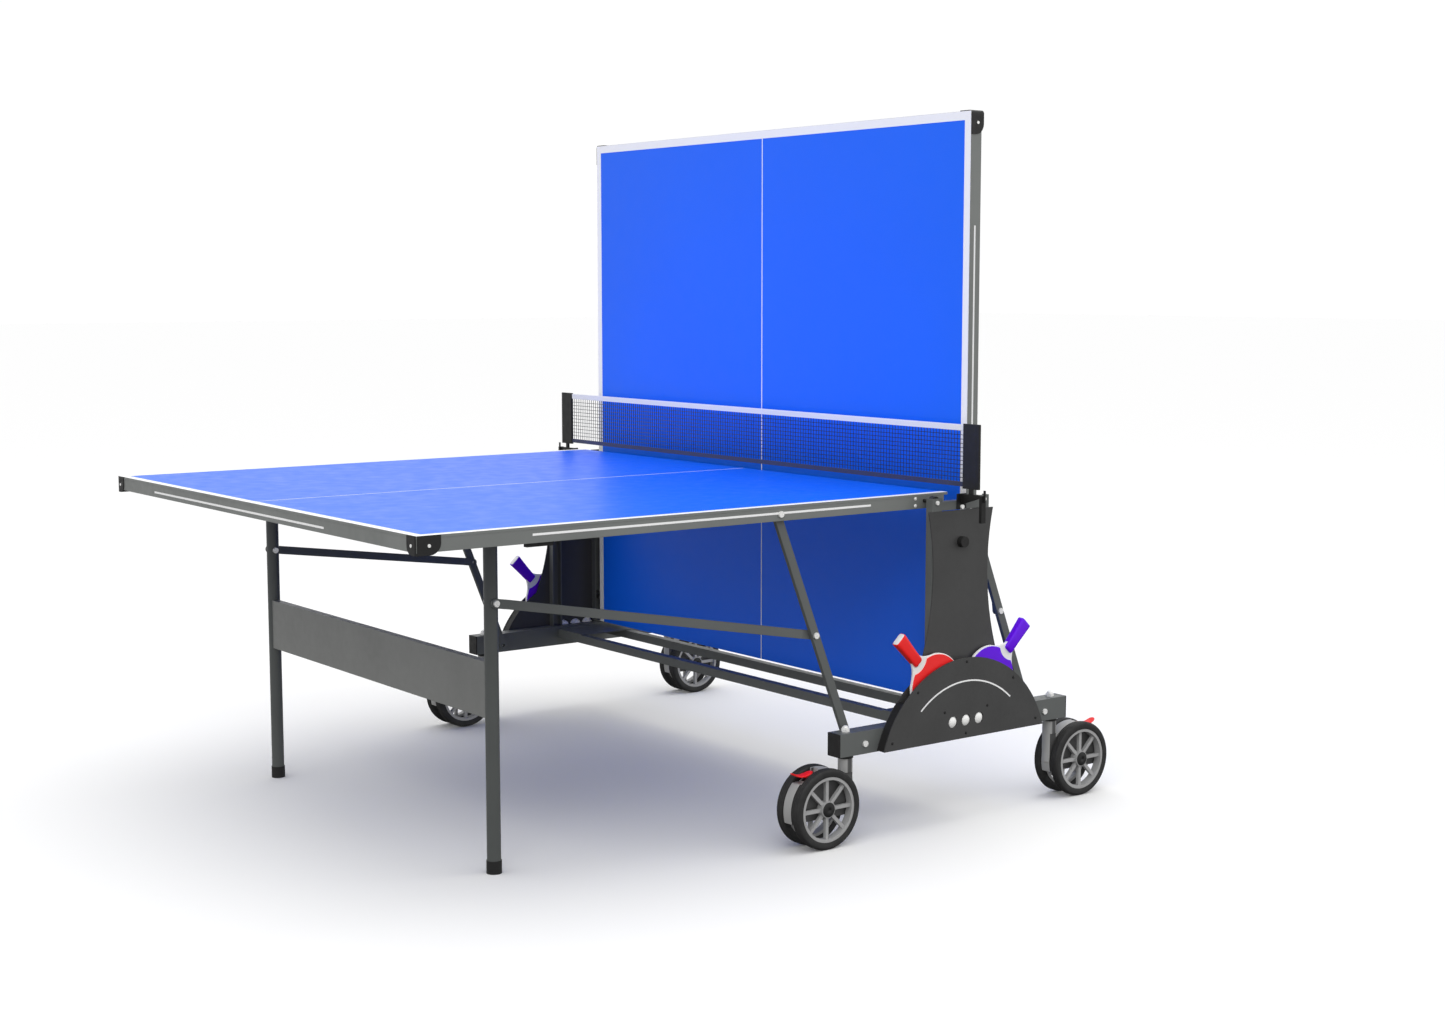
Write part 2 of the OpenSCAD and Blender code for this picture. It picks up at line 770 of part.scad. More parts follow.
module fork(x_side, y_side) {
    slot = pedal_half + 0.5;
    color(caster_grey) at_caster(x_side, y_side)
        difference() {
            union() {
                translate([0, 0, stem_low]) cylinder(h = fork_top - stem_low, r = stem_r);
                intersection() {
                    union() {
                        cross_bar_round(trail, wheel_r, fork_r, -fork_half, fork_half);
                        translate([0, 0, wheel_r]) cylinder(h = stem_low - wheel_r + 1, r = stem_r);
                    }
                    block([-stem_r, -fork_half, wheel_r - 25], [trail + fork_r, fork_half, rail_z]);
                }
            }
            translate([0, 0, kingpin_low - 4]) cylinder(h = rail_z, r = kingpin_r + turn_fit);
            cross_bar_round(trail, wheel_r, axle_r + turn_fit, -fork_half - 1, fork_half + 1);
            difference() {
                block([pedal_u - 5, -fork_half - 1, pedal_z - 1], [trail + fork_r, fork_half + 1, rail_z]);
                cross_bar_round(trail, wheel_r, fork_r - pad_room, -fork_half - 2, fork_half + 2);
            }
            difference() {
                block([pedal_u - 12, -slot, pedal_z - 12], [pedal_u + 24, slot, rail_z]);
                cross_bar_round(pedal_u, pedal_z, pedal_pin_r, -fork_half, fork_half);
            }
        }
}

// Section of a tyre from its bore outward, with chamfered shoulders
module tyre(y) {
    half = tyre_w / 2;
    translate([trail, y, wheel_r]) rotate([90, 0, 0]) rotate_extrude($fn = 96)
        polygon([[rim_r, -half], [wheel_r - 5, -half], [wheel_r, -half + 5], [wheel_r, half - 5],
            [wheel_r - 5, half], [rim_r, half]]);
}

module tyres(x_side, y_side) {
    color(plastic_black) at_caster(x_side, y_side)
        for (s = [-1, 1]) tyre(s * twin_pitch / 2);
}

module wheel_disc(y) {
    half = tyre_w / 2 - 1.5;
    translate([0, y, 0]) {
        difference() {
            cross_bar_round(trail, wheel_r, rim_r, -half, half);
            cross_bar_round(trail, wheel_r, rim_r - 7, -half - 1, half + 1);
        }
        cross_bar_round(trail, wheel_r, hub_r, -half, half);
        for (i = [0:spokes - 1])
            translate([trail, 0, wheel_r]) rotate([0, i * 360 / spokes, 0])
                block([hub_r - 2, -4, -4], [rim_r - 5, 4, 4]);
    }
}

module hubs(x_side, y_side) {
    color(caster_grey) at_caster(x_side, y_side) {
        for (s = [-1, 1]) wheel_disc(s * twin_pitch / 2);
        cross_bar_round(trail, wheel_r, axle_r, -twin_pitch / 2, twin_pitch / 2);
    }
}

module pedal(x_side, y_side) {
    wide = fork_half - 1;
    color(red) at_caster(x_side, y_side) translate([pedal_u, 0, pedal_z])
        difference() {
            union() {
                side_panel(-pedal_half, pedal_half) {
                    circle(7);
                    polygon([[-6, 0], [6, -3], [20, 12], [6, 18]]);
                }
                side_panel(-wide, wide)
                    polygon([[6, 14], [18, 10], [30, 9], [44, 13], [59, 21], [58, 25], [5, 22]]);
            }
            cross_bar_round(0, 0, pedal_pin_r + turn_fit, -pedal_half - 1, pedal_half + 1);
        }
}

board(false);  // play_board
frame(false);  // play_frame
corner_caps(false);  // play_corner_caps
pivot_bolts(false);  // play_pivot_bolts
leg_bushes(false);  // play_leg_bushes
track_rollers(false);  // play_track_rollers
struts(false);  // play_struts
strut_bolts(false);  // play_strut_bolts
legs(false);  // play_legs
leg_panel(false);  // play_leg_panel
feet(false);  // play_feet
leg_bolts(false);  // play_leg_bolts
links(false);  // play_links
board(true);  // back_board
frame(true);  // back_frame
corner_caps(true);  // back_corner_caps
pivot_bolts(true);  // back_pivot_bolts
leg_bushes(true);  // back_leg_bushes
track_rollers(true);  // back_track_rollers
struts(true);  // back_struts
strut_bolts(true);  // back_strut_bolts
legs(true);  // back_legs
leg_panel(true);  // back_leg_panel
feet(true);  // back_feet
leg_bolts(true);  // back_leg_bolts
links(true);  // back_links
side_rails();
rail_end_caps();
cross_bars();
chassis_plates();
guide_tracks();
side_sheets();
holder_panels();
holder_spacers();
balls();
net_brackets();
net_posts();
net();
chassis_bolts();
swivel_collars();
fork(-1, -1);  // fork_play_near
tyres(-1, -1);  // tyres_play_near
hubs(-1, -1);  // hubs_play_near
pedal(-1, -1);  // pedal_play_near
fork(-1, 1);  // fork_play_far
tyres(-1, 1);  // tyres_play_far
hubs(-1, 1);  // hubs_play_far
pedal(-1, 1);  // pedal_play_far
fork(1, -1);  // fork_back_near
tyres(1, -1);  // tyres_back_near
hubs(1, -1);  // hubs_back_near
pedal(1, -1);  // pedal_back_near
fork(1, 1);  // fork_back_far
tyres(1, 1);  // tyres_back_far
hubs(1, 1);  // hubs_back_far
pedal(1, 1);  // pedal_back_far
racket(-1, -1, red);  // racket_near_left
racket(1, -1, purple);  // racket_near_right
racket(-1, 1, purple);  // racket_far_left
racket(1, 1, red);  // racket_far_right
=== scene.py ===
"""Looks of a folding ping pong table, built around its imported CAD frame.

Metres, row frame: +X towards the stood-up half, +Y across to the far side, +Z up, floor at Z = 0.
"""
import json
import math

import bmesh
import bpy
from mathutils import Matrix, Vector


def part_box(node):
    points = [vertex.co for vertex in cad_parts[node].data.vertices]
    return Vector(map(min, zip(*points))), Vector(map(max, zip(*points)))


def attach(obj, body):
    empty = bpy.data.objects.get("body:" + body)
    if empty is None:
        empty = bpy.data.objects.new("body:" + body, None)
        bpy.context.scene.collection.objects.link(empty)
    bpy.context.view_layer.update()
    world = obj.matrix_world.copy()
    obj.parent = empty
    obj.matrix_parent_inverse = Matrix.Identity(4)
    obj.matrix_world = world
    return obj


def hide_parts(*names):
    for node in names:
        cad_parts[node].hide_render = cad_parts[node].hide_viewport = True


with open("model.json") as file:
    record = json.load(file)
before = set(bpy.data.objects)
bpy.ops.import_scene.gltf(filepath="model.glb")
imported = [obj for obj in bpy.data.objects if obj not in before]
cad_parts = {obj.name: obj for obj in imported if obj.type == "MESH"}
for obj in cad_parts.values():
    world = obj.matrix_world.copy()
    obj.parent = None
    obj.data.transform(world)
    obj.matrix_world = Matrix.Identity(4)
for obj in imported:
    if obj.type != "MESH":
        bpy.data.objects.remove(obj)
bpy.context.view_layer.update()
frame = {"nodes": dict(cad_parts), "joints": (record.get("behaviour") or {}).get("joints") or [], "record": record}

MM = 0.001

# ---------------------------------------------------------------- places taken from the frame
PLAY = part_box("play_board")
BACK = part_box("back_board")
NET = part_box("net")
NET_X = (NET[0].x + NET[1].x) / 2
HALF_W = PLAY[1].y
LENGTH = PLAY[1].x - PLAY[0].x
BOARD_T = PLAY[1].z - PLAY[0].z
PLAY_GAP = NET_X - PLAY[1].x
ENDS = (("play", -1), ("back", 1))
SIDES = (("near", -1), ("far", 1))
CASTERS = [(f"{end_name}_{side_name}", end) for end_name, end in ENDS for side_name, _ in SIDES]


def on_half(half, s, y, d):
    """Point of a half: s out from its inner edge, y across, d below its playing face."""
    if half == "back":
        return Vector((BACK[0].x + d, y, BACK[0].z + s))
    return Vector((PLAY[1].x - s, y, PLAY[1].z - d))


# ---------------------------------------------------------------- materials
def linear(r, g, b):
    """Screen colour from 0 to 255 as a linear colour with alpha."""
    def channel(c):
        c = c / 255
        return c / 12.92 if c <= 0.04045 else ((c + 0.055) / 1.055) ** 2.4
    return (channel(r), channel(g), channel(b), 1.0)


def scaled(color, k):
    """Colour made k times as bright, up to white."""
    return (*(min(channel * k, 1) for channel in color[:3]), 1.0)


class Shader:
    """A Principled material whose nodes are added one by one."""

    def __init__(self, name, **sockets):
        self.material = bpy.data.materials.new(name)
        self.material.use_nodes = True
        self.tree = self.material.node_tree
        self.bsdf = self.tree.nodes["Principled BSDF"]
        for socket, value in sockets.items():
            self.bsdf.inputs[socket.replace("_", " ")].default_value = value
        self.place = self.node("ShaderNodeTexCoord").outputs["Object"]

    def node(self, kind, **values):
        """New node; each value sets a property of that name, or else the input of that name."""
        made = self.tree.nodes.new(kind)
        for key, value in values.items():
            if hasattr(made, key):
                setattr(made, key, value)
            else:
                made.inputs[key.replace("_", " ")].default_value = value
        return made

    def link(self, a, b):
        self.tree.links.new(a, b)

    def noise(self, scale, detail=2.0, stretch=(1, 1, 1)):
        mapping = self.node("ShaderNodeMapping")
        mapping.inputs["Scale"].default_value = stretch
        self.link(self.place, mapping.inputs["Vector"])
        texture = self.node("ShaderNodeTexNoise", Scale=scale, Detail=detail)
        self.link(mapping.outputs["Vector"], texture.inputs["Vector"])
        return texture.outputs["Fac"]

    def cells(self, scale):
        texture = self.node("ShaderNodeTexVoronoi", Scale=scale)
        self.link(self.place, texture.inputs["Vector"])
        return texture.outputs["Distance"]

    def ranged(self, value, low, high, to_low, to_high):
        made = self.node("ShaderNodeMapRange")
        for index, number in enumerate((low, high, to_low, to_high)):
            made.inputs[index + 1].default_value = number
        self.link(value, made.inputs[0])
        return made.outputs[0]

    def math(self, operation, *values):
        made = self.node("ShaderNodeMath", operation=operation)
        for index, value in enumerate(values):
            self.link(value, made.inputs[index])
        return made.outputs[0]

    def mix(self, factor, a, b):
        """Colour between a and b, each a colour or another node's output."""
        made = self.node("ShaderNodeMix", data_type="RGBA")
        self.link(factor, made.inputs[0])
        for socket, value in ((made.inputs[6], a), (made.inputs[7], b)):
            if hasattr(value, "is_linked"):
                self.link(value, socket)
            else:
                socket.default_value = value
        return made.outputs[2]

    def mottled(self, color, spread, scale):
        """Colour that drifts slowly over the surface."""
        drift = self.ranged(self.noise(scale, 3.0), 0.3, 0.7, 0.0, 1.0)
        return self.mix(drift, scaled(color, 1 - spread), scaled(color, 1 + spread))

    def rough(self, low, high, scale):
        """Roughness that drifts between two values."""
        drift = self.ranged(self.noise(scale, 4.0), 0.3, 0.7, low, high)
        self.link(drift, self.bsdf.inputs["Roughness"])

    def soft_edges(self, radius):
        return self.node("ShaderNodeBevel", samples=4, Radius=radius).outputs["Normal"]

    def bump(self, height, distance, strength, normal=None):
        made = self.node("ShaderNodeBump", Strength=strength, Distance=distance)
        self.link(height, made.inputs["Height"])
        if normal is not None:
            self.link(normal, made.inputs["Normal"])
        return made.outputs["Normal"]

    def worn(self, color, edge_normal, worn_color, amount):
        """Colour rubbed towards worn_color in spots along the edges."""
        flat = self.node("ShaderNodeNewGeometry").outputs["Normal"]
        dot = self.node("ShaderNodeVectorMath", operation="DOT_PRODUCT")
        self.link(edge_normal, dot.inputs[0])
        self.link(flat, dot.inputs[1])
        edge = self.ranged(dot.outputs["Value"], 0.99, 0.8, 0.0, 1.0)
        spots = self.ranged(self.noise(160, 4.0), 0.5, 0.72, 0.0, amount)
        return self.mix(self.math("MULTIPLY", edge, spots), color, worn_color)

    def done(self, color, normal):
        self.link(color, self.bsdf.inputs["Base Color"])
        self.link(normal, self.bsdf.inputs["Normal"])
        return self.material


PLASTIC_GRAIN = 2200


def powder_coat(name, color, roughness=0.42):
    """Powder-coated steel: fine orange peel, slightly uneven gloss, edges rubbed here and there."""
    s = Shader(name, Specular_IOR_Level=0.3, Coat_Weight=0.04, Coat_Roughness=0.35)
    s.rough(roughness - 0.06, roughness + 0.08, 60)
    edges = s.soft_edges(1.2 * MM)
    worn = s.worn(s.mottled(color, 0.06, 7), edges, scaled(color, 1.9), 0.5)
    return s.done(worn, s.bump(s.noise(1400), 0.1 * MM, 0.35, edges))


def moulded(name, color, roughness=0.55):
    """Moulded plastic with a fine spark-eroded grain."""
    s = Shader(name, Specular_IOR_Level=0.32)
    s.rough(roughness - 0.08, roughness + 0.1, 90)
    edges = s.soft_edges(1.0 * MM)
    worn = s.worn(s.mottled(color, 0.08, 12), edges, scaled(color, 1.7), 0.35)
    return s.done(worn, s.bump(s.cells(PLASTIC_GRAIN), 0.1 * MM, 0.3, edges))


def fork_plastic(name, color, shaded_side_color):
    """Moulded plastic with painted shade: the flat sides between the twin wheels are darkened to stand in for the
    shade that falls there.
    """
    s = Shader(name, Specular_IOR_Level=0.32)
    s.rough(0.4, 0.56, 90)
    # Painted shade: faces that look along Y, the flat sides between the wheels, turn to the darker colour
    sides = s.node("ShaderNodeSeparateXYZ")
    s.link(s.node("ShaderNodeTexCoord").outputs["Normal"], sides.inputs[0])
    dark = s.ranged(s.math("ABSOLUTE", sides.outputs["Y"]), 0.9, 0.97, 0.0, 1.0)
    base = s.mix(dark, s.mottled(color, 0.06, 12), shaded_side_color)
    return s.done(base, s.bump(s.cells(PLASTIC_GRAIN), 0.1 * MM, 0.3, s.soft_edges(1.0 * MM)))


def plated(name):
    """Bright zinc plating with fine turning marks."""
    s = Shader(name, Metallic=0.25)
    s.rough(0.2, 0.36, 240)
    marks = s.noise(900, stretch=(1, 6, 1))
    return s.done(s.mottled(linear(246, 246, 244), 0.04, 60),
                  s.bump(marks, 0.08 * MM, 0.35, s.soft_edges(0.8 * MM)))


def lacquer(name, color):
    """Playing lacquer: half-matt, with a very fine texture and faint scuffs."""
    s = Shader(name, Specular_IOR_Level=0.22, Coat_Weight=0.02, Coat_Roughness=0.22)
    s.rough(0.34, 0.44, 26)
    scuffs = s.ranged(s.noise(38, 6.0, (1, 3, 1)), 0.66, 0.78, 0.0, 0.35)
    base = s.mix(scuffs, s.mottled(color, 0.02, 2.2), scaled(color, 1.06))
    return s.done(base, s.bump(s.noise(1900, 3.0), 0.06 * MM, 0.3))


def paint(name, color, roughness=0.5):
    """Printed line paint, slightly thicker here and there."""
    s = Shader(name)
    s.rough(roughness - 0.08, roughness + 0.08, 120)
    return s.done(s.mottled(color, 0.015, 40), s.bump(s.noise(700, 3.0), 0.06 * MM, 0.3))


def rubber(name, color, roughness=0.72):
    """Tyre rubber with mould sheen and a trace of dust in the grain."""
    s = Shader(name)
    s.rough(roughness - 0.12, roughness + 0.12, 45)
    dust = s.ranged(s.noise(70, 6.0), 0.55, 0.8, 0.0, 0.3)
    base = s.mix(dust, s.mottled(color, 0.15, 18), linear(70, 68, 64))
    return s.done(base, s.bump(s.cells(1100), 0.12 * MM, 0.35, s.soft_edges(1.2 * MM)))


def pimpled(name, color):
    """Racket rubber: smooth sheet with the pimples under it just showing through."""
    s = Shader(name, Specular_IOR_Level=0.3, Coat_Weight=0.06, Coat_Roughness=0.3)
    s.rough(0.36, 0.5, 60)
    return s.done(s.mottled(color, 0.05, 30), s.bump(s.cells(640), 0.12 * MM, 0.25))


def woven(name, color, pitch, sheen=0.3):
    """Plain-woven tape: crossed threads at the given pitch."""
    waves_per_scale = 0.314
    s = Shader(name, Sheen_Weight=sheen)
    s.rough(0.78, 0.92, 200)
    threads = []
    for way in ("Y", "Z"):
        wave = s.node("ShaderNodeTexWave", bands_direction=way, Scale=waves_per_scale / pitch)
        s.link(s.place, wave.inputs["Vector"])
        threads.append(wave.outputs["Fac"])
    weave = s.math("MULTIPLY", *threads)
    base = s.mix(weave, scaled(color, 0.82), scaled(color, 1.04))
    return s.done(base, s.bump(weave, 0.2 * MM, 0.6))


BLUE = lacquer("board_blue", linear(6, 107, 255))
APRON = powder_coat("apron_grey", linear(122, 125, 123))
STEEL = powder_coat("steel_grey", linear(98, 101, 100))
LEG = powder_coat("leg_grey", linear(84, 87, 86))
LEG_PANEL = powder_coat("leg_panel_grey", linear(126, 127, 125))
DARK = powder_coat("dark_grey", linear(68, 68, 68), 0.5)
HOLDER = moulded("holder_grey", linear(68, 68, 68), 0.5)
BLACK_METAL = powder_coat("black_metal", linear(24, 24, 24), 0.5)
BLACK = moulded("black_plastic", linear(32, 32, 32))
CASTER = moulded("caster_grey", linear(170, 170, 170), 0.45)
# The fork's second colour is painted shade on its flat sides between the twin wheels
FORK = fork_plastic("fork_grey", linear(168, 168, 167), linear(84, 84, 84))
WHITE_PLASTIC = moulded("white_plastic", linear(252, 252, 250), 0.4)
BALL = paint("ball_white", linear(254, 254, 252), 0.45)
ZINC = plated("zinc")
TYRE = rubber("tyre_black", linear(36, 36, 36))
RED = moulded("red_plastic", linear(255, 34, 34), 0.4)
RED_RUBBER = pimpled("red_rubber", linear(255, 42, 42))
PURPLE = moulded("purple_plastic", linear(104, 0, 236), 0.42)
PURPLE_RUBBER = pimpled("purple_rubber", linear(104, 0, 236))
WHITE_PAINT = paint("white_paint", linear(255, 255, 255))
NET_THREAD = woven("net_thread", linear(26, 27, 32), 0.6 * MM, 0.2)
NET_BAND = woven("net_band", linear(26, 38, 84), 0.9 * MM)
NET_TAPE = woven("net_tape", linear(254, 254, 254), 0.9 * MM)

SLOT_MATERIALS = {
    "board": BLUE, "apron": APRON, "corner_cap": BLACK, "bolt": ZINC, "bush": BLACK,
    "roller": BLACK, "strut": STEEL, "leg": LEG, "leg_panel": LEG_PANEL, "foot": BLACK,
    "link": STEEL, "rail": STEEL, "rail_cap": BLACK, "cross_bar": STEEL, "track": STEEL,
    "side_sheet": DARK, "holder_panel": HOLDER, "spacer": BLACK, "ball": BALL,
    "net_bracket": BLACK_METAL, "net_post": BLACK_METAL, "net": NET_THREAD, "collar": BLACK,
    "fork": FORK, "tyre": TYRE, "hub": CASTER, "pedal": RED,
    "racket_red": RED_RUBBER, "racket_purple": PURPLE_RUBBER,
}
for part in frame["record"]["subparts"]:
    for material_slot in frame["nodes"][part["node"]].material_slots:
        material_slot.material = SLOT_MATERIALS[part["material_slot"]]


# ---------------------------------------------------------------- mesh helpers
def piece(name, bm, material, body, smooth=False):
    """Turns a bmesh into an object that rides on a body."""
    bmesh.ops.recalc_face_normals(bm, faces=bm.faces)
    mesh = bpy.data.meshes.new(name)
    bm.to_mesh(mesh)
    bm.free()
    if smooth:
        for polygon in mesh.polygons:
            polygon.use_smooth = True
    mesh.materials.append(material)
    made = bpy.data.objects.new(name, mesh)
    bpy.context.scene.collection.objects.link(made)
    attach(made, body)
    return made


def bevel(made, width, segments=2):
    modifier = made.modifiers.new("bevel", "BEVEL")
    modifier.width = width
    modifier.segments = segments
    modifier.limit_method = "ANGLE"
    modifier.angle_limit = 0.6
    return made


def add_box(bm, a, b):
    """Box between two opposite corners."""
    low = Vector(map(min, a, b))
    high = Vector(map(max, a, b))
    matrix = Matrix.Translation((low + high) / 2) @ Matrix.Diagonal((*(high - low), 1))
    bmesh.ops.create_cube(bm, size=1, matrix=matrix)


def join_rings(bm, rings):
    """Quads between neighbouring closed rings of the same number of points."""
    for first, second in zip(rings, rings[1:]):
        for i in range(len(first)):
            j = (i + 1) % len(first)
            bm.faces.new((first[i], first[j], second[j], second[i]))


def add_skin(bm, sections):
    """Skin through closed sections of points, with a flat face at each end."""
    rings = [[bm.verts.new(point) for point in section] for section in sections]
    join_rings(bm, rings)
    bm.faces.new(rings[0])
    bm.faces.new(rings[-1])


def add_prism(bm, outline, low, high, put):
    """Prism over a closed outline of (a, b) points; put(a, b, h) gives the place."""
    add_skin(bm, [[put(a, b, h) for a, b in outline] for h in (low, high)])


def add_lathe(bm, profile, put, steps):
    """Turns a closed profile of (radius, height) points; put(x, y, h) gives the place."""
    rings = []
    for k in range(steps):
        turn = 2 * math.pi * k / steps
        rings.append([bm.verts.new(put(r * math.cos(turn), r * math.sin(turn), h))
                      for r, h in profile])
    join_rings(bm, rings + rings[:1])


def superellipse(half_a, half_b, power_a, power_b, steps):
    """Closed section whose sides bulge more as the powers fall below 1."""
    ring = []
    for k in range(steps):
        t = 2 * math.pi * k / steps
        c, s = math.cos(t), math.sin(t)
        ring.append((half_a * math.copysign(abs(c) ** power_a, c),
                     half_b * math.copysign(abs(s) ** power_b, s)))
    return ring


# ---------------------------------------------------------------- lines, stripes, lips and rivets
EMBED = 0.2 * MM  # depth that applied pieces reach into the part under them
LINE_PROUD = 0.15 * MM
BORDER = 20 * MM
CENTRE_LINE = 3 * MM
STRIPE = 4.6 * MM
STRIPE_DEPTH = 16 * MM
END_STRIPE_DEPTH = 21.5 * MM
STRIPE_RUN = (232 * MM, 1113 * MM)
END_STRIPE_RUN = (-372 * MM, 530 * MM)
LIP_PROUD = 0.3 * MM
LIP_DEPTH = (0.1 * MM, BOARD_T + 0.05 * MM)
RIVET = [(0.2 * MM, 2.4 * MM), (2.4 * MM, 2.1 * MM), (3.9 * MM, 1.2 * MM), (4.4 * MM, 0),
         (0.2 * MM, 0)]
RIVET_REACH = 100 * MM - PLAY_GAP
RIVET_DEPTHS = (10 * MM, 26 * MM)


def strip(bm, half, s, y, d):
    """Thin box on a half; s, y and d are pairs of limits."""
    add_box(bm, on_half(half, s[0], y[0], d[0]), on_half(half, s[1], y[1], d[1]))


def around(depth):
    """Limits of a stripe at a depth below the playing face."""
    return (depth - STRIPE / 2, depth + STRIPE / 2)


for half, _ in ENDS:
    top = f"{half}_top"
    bm = bmesh.new()
    printed = (-LINE_PROUD, EMBED)
    for y in ((-HALF_W, -HALF_W + BORDER), (HALF_W - BORDER, HALF_W)):
        strip(bm, half, (0, LENGTH), y, printed)
    strip(bm, half, (LENGTH - BORDER, LENGTH), (-HALF_W + BORDER, HALF_W - BORDER), printed)
    strip(bm, half, (0, LENGTH - BORDER), (-CENTRE_LINE / 2, CENTRE_LINE / 2), printed)
    piece(f"{half}_lines", bm, WHITE_PAINT, top)

    bm = bmesh.new()
    for side in (-1, 1):
        strip(bm, half, STRIPE_RUN, (side * (HALF_W - EMBED), side * (HALF_W + LINE_PROUD)),
              around(STRIPE_DEPTH))
    strip(bm, half, (LENGTH - EMBED, LENGTH + LINE_PROUD), END_STRIPE_RUN,
          around(END_STRIPE_DEPTH))
    piece(f"{half}_stripes", bm, WHITE_PAINT, top)

    # Metal lip of the frame round the board's edge
    bm = bmesh.new()
    for side in (-1, 1):
        strip(bm, half, (0, LENGTH + LIP_PROUD),
              (side * (HALF_W - EMBED), side * (HALF_W + LIP_PROUD)), LIP_DEPTH)
    for s in ((LENGTH - EMBED, LENGTH + LIP_PROUD), (-LIP_PROUD, EMBED)):
        strip(bm, half, s, (-HALF_W - LIP_PROUD, HALF_W + LIP_PROUD), LIP_DEPTH)
    bevel(piece(f"{half}_lip", bm, APRON, top), 0.12 * MM, 1)

    bm = bmesh.new()
    for side in (-1, 1):
        for d in RIVET_DEPTHS:
            add_lathe(bm, RIVET, lambda a, b, h, side=side, d=d:
                      on_half(half, RIVET_REACH + a, side * (HALF_W + h), d + b), 20)
    piece(f"{half}_rivets", bm, ZINC, top, smooth=True)


# ---------------------------------------------------------------- net
TAPE = 14 * MM
BAND = 11 * MM
TAPE_HALF_T = 1.1 * MM
BAND_HALF_T = 0.9 * MM
MESH = 10 * MM
THREAD_R = 0.75 * MM
THREAD_SIDES = 6
THREAD_TUCK = 2 * MM
KNOT_R = 1.35 * THREAD_R
KNOT_STRETCH = (1.3, 1, 1.25, 1)
STITCH = Vector((0.5, 2.6, 0.4)) * MM
STITCH_PITCH = 5 * MM


def add_thread(bm, a, b):
    along = (b - a).normalized()
    side = along.orthogonal().normalized()
    other = along.cross(side)
    turns = [2 * math.pi * k / THREAD_SIDES for k in range(THREAD_SIDES)]
    add_skin(bm, [[end + THREAD_R * (math.cos(t) * side + math.sin(t) * other) for t in turns]
                  for end in (a, b)])


def evenly(low, high, pitch):
    """Places from low to high at about the given pitch."""
    count = round((high - low) / pitch)
    return [low + (high - low) * i / count for i in range(count + 1)]


def net_edge(name, material, half_t, low_z, high_z, width):
    """Folded tape along an edge of the net."""
    bm = bmesh.new()
    add_box(bm, Vector((NET_X - half_t, NET[0].y, low_z)),
            Vector((NET_X + half_t, NET[1].y, high_z)))
    return bevel(piece(name, bm, material, "chassis"), width, 3)


mesh_low = (NET[0] + Vector((0, 0, BAND))).z
mesh_high = (NET[1] - Vector((0, 0, TAPE))).z
bm = bmesh.new()
ys = evenly(NET[0].y + 1 * MM, NET[1].y - 1 * MM, MESH)
zs = evenly(mesh_low, mesh_high, MESH)
for y in ys:
    add_thread(bm, Vector((NET_X, y, mesh_low - THREAD_TUCK)),
               Vector((NET_X, y, mesh_high + THREAD_TUCK)))
for z in zs[1:-1]:
    add_thread(bm, Vector((NET_X, NET[0].y, z)), Vector((NET_X, NET[1].y, z)))
    for y in ys:
        matrix = Matrix.Translation((NET_X, y, z)) @ Matrix.Diagonal(KNOT_STRETCH)
        bmesh.ops.create_icosphere(bm, subdivisions=1, radius=KNOT_R, matrix=matrix)
net = piece("net_mesh", bm, NET_THREAD, "chassis", smooth=True)
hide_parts("net")
net_tape = net_edge("net_tape", NET_TAPE, TAPE_HALF_T, mesh_high, NET[1].z, 0.7 * MM)
net_band = net_edge("net_band", NET_BAND, BAND_HALF_T, NET[0].z, mesh_low, 0.6 * MM)

bm = bmesh.new()
for z in (mesh_high + 1.6 * MM, NET[1].z - 2.2 * MM):
    for y in evenly(NET[0].y + 3 * MM, NET[1].y - 3 * MM, STITCH_PITCH):
        for side in (-1, 1):
            centre = Vector((NET_X + side * TAPE_HALF_T, y, z))
            add_box(bm, centre - STITCH / 2, centre + STITCH / 2)
stitches = piece("net_stitches", bm, WHITE_PAINT, "chassis")


# ---------------------------------------------------------------- rackets
RACKET_X = 84.5 * MM
RACKET_Z = 327 * MM
RACKET_SLOPE = math.radians(46.5)
BLADE_R = 76 * MM
BLADE_HALF_T = 3.1 * MM
RUBBER_OUT = 4.9 * MM
RUBBER_INSET = 2.4 * MM
NECK_TURN = 40
NECK_BEND = (-20 * MM, 74 * MM)
NECK_END = (-12.5 * MM, 98 * MM)
RUBBER_END = 62 * MM
RUBBER_END_CENTRE = 104 * MM
# Sections in mm: distance from the blade's centre, half width, half thickness
HANDLE = ((80, 9.5, 5.5), (81.5, 12, 7.6), (86, 13.2, 9), (115, 13.8, 9.7), (147, 15.8, 9.9),
          (161, 16.9, 9.9), (164.2, 16.6, 9.6), (164.5, 15.6, 9))
END_CAP = ((163.8, 15.2, 8.7), (164.7, 15.2, 8.7), (165, 14.4, 8))


def arc(centre, radius, start, end, steps):
    """Points on an arc; angles in degrees from the handle's direction, towards +a."""
    points = []
    for k in range(steps + 1):
        t = math.radians(start + (end - start) * k / steps)
        points.append((centre[0] + radius * math.sin(t), centre[1] + radius * math.cos(t)))
    return points


def curve(a, b, c, steps):
    """Points of a quadratic curve from a to c, drawn towards b."""
    points = []
    for k in range(steps + 1):
        t = k / steps
        points.append(tuple((1 - t) ** 2 * a[i] + 2 * t * (1 - t) * b[i] + t * t * c[i]
                            for i in (0, 1)))
    return points


def blade_outline():
    """Round blade that flows into a neck under the handle."""
    rim = arc((0, 0), BLADE_R, NECK_TURN, 360 - NECK_TURN, 72)
    left = curve(rim[-1], NECK_BEND, NECK_END, 8)
    right = [(-a, b) for a, b in reversed(left)]
    return rim + left[1:] + right[:-1]


